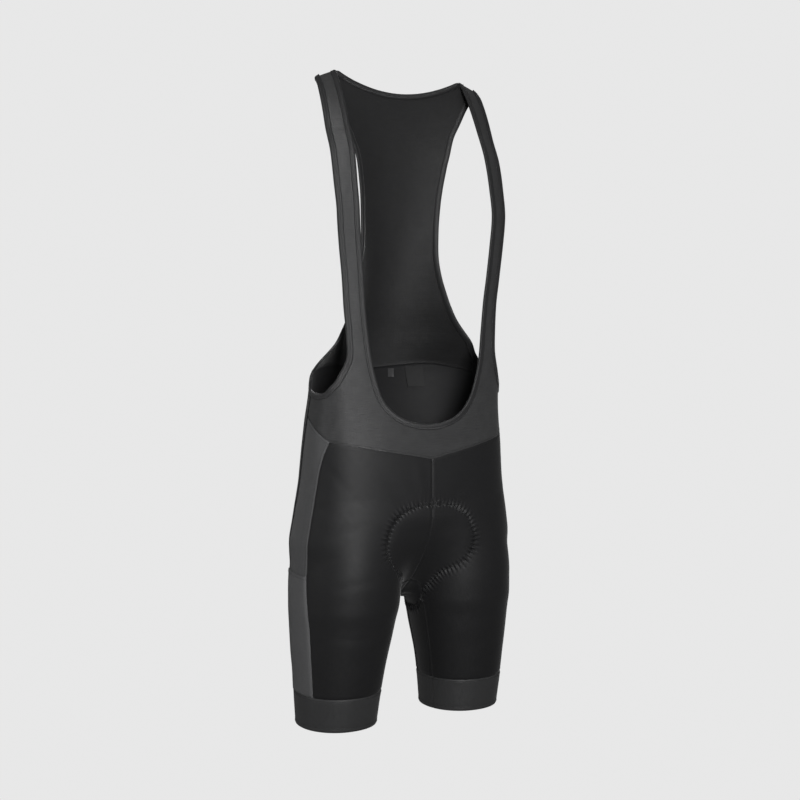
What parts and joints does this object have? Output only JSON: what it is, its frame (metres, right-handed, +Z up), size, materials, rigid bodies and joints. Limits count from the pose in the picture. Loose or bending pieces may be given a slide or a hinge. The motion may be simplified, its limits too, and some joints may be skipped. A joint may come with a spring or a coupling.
{
  "type": "cycling bib shorts",
  "caption": "Hollow worn-form cycling bib shorts with shoulder straps, a mesh racerback, leg pockets, elastic leg bands and a saddle pad.",
  "frame": {"origin": "middle of the shoulder line, level with the tops of the straps where the wearer's shoulders hold them", "axes": "+Z up, +X towards the wearer's left, -Y towards the wearer's front"},
  "size_m": [0.3578, 0.219, 0.9588],
  "materials": {
    "leg_knit": "smooth black stretch knit with a soft sheen",
    "bib_knit": "fine cross-ribbed grey stretch knit with a soft sheen",
    "side_knit": "matt dark grey knit",
    "mesh_knit": "fine open black mesh knit",
    "band_knit": "smooth elastic band, dark grey",
    "tape": "folded stretch tape with a stitched edge",
    "padding": "brushed cover over foam",
    "label_weave": "woven satin label, plain"
  },
  "bodies": {
    "root": {"front_panel_right": "leg_knit", "front_panel_left": "leg_knit", "side_panel_right": "side_knit", "side_panel_left": "side_knit", "back_panel_right": "leg_knit", "back_panel_left": "leg_knit", "gusset_right": "leg_knit", "gusset_left": "leg_knit", "leg_band_right": "band_knit", "leg_band_left": "band_knit", "pocket_right": "side_knit", "pocket_left": "side_knit", "front_bib": "bib_knit", "back_mesh": "mesh_knit", "neck_binding_front": "tape", "neck_binding_back": "tape", "armhole_binding_right": "tape", "armhole_binding_left": "tape", "seat_pad": "padding", "size_label": "label_weave", "hang_tab": "label_weave"}
  },
  "joints": []
}
